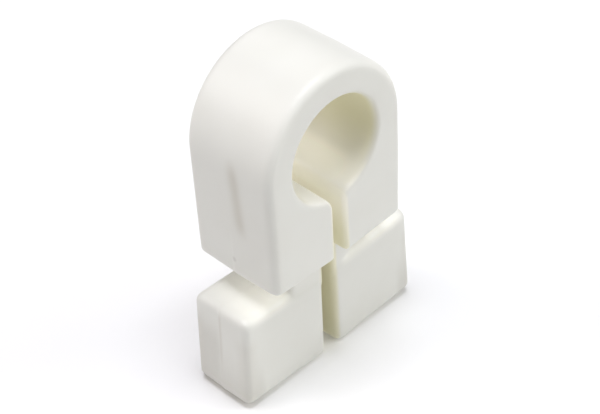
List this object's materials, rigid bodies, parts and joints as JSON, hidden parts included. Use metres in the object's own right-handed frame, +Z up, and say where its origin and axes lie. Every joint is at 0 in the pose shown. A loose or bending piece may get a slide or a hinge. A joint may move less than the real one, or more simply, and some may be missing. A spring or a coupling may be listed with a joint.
{
  "type": "wall anchor",
  "caption": "Plastic clip anchor: a slotted arch that holds a rod in its bore, with spring legs whose necks and feet hook behind a thin wall.",
  "frame": {"origin": "middle of the bounding box, on the floor that the feet stand on", "axes": "+Z up from the feet to the crown, X across the two legs, Y along the rod bore; -Y is the front"},
  "size_m": [0.0172, 0.008, 0.0259],
  "materials": {
    "plastic": "satin moulded, off-white and slightly translucent"
  },
  "bodies": {
    "crown": {"crown": "plastic"},
    "left_jaw": {"left_leg": "plastic", "left_neck": "plastic", "left_foot": "plastic"},
    "right_jaw": {"right_leg": "plastic", "right_neck": "plastic", "right_foot": "plastic"}
  },
  "joints": [
    {"name": "left_flex", "type": "hinge", "parent": "crown", "child": "left_jaw", "pos_m": [0, 0, 0.02462], "axis": [0, -1, 0], "range_deg": [-1, 1.2], "stiffness_Nm_per_rad": 2},
    {"name": "right_flex", "type": "hinge", "parent": "crown", "child": "right_jaw", "pos_m": [0, 0, 0.02462], "axis": [0, 1, 0], "range_deg": [-1, 1.2], "stiffness_Nm_per_rad": 2}
  ],
  "couplings": [
    {"joint": "right_flex", "follows": "left_flex", "ratio": 1}
  ]
}
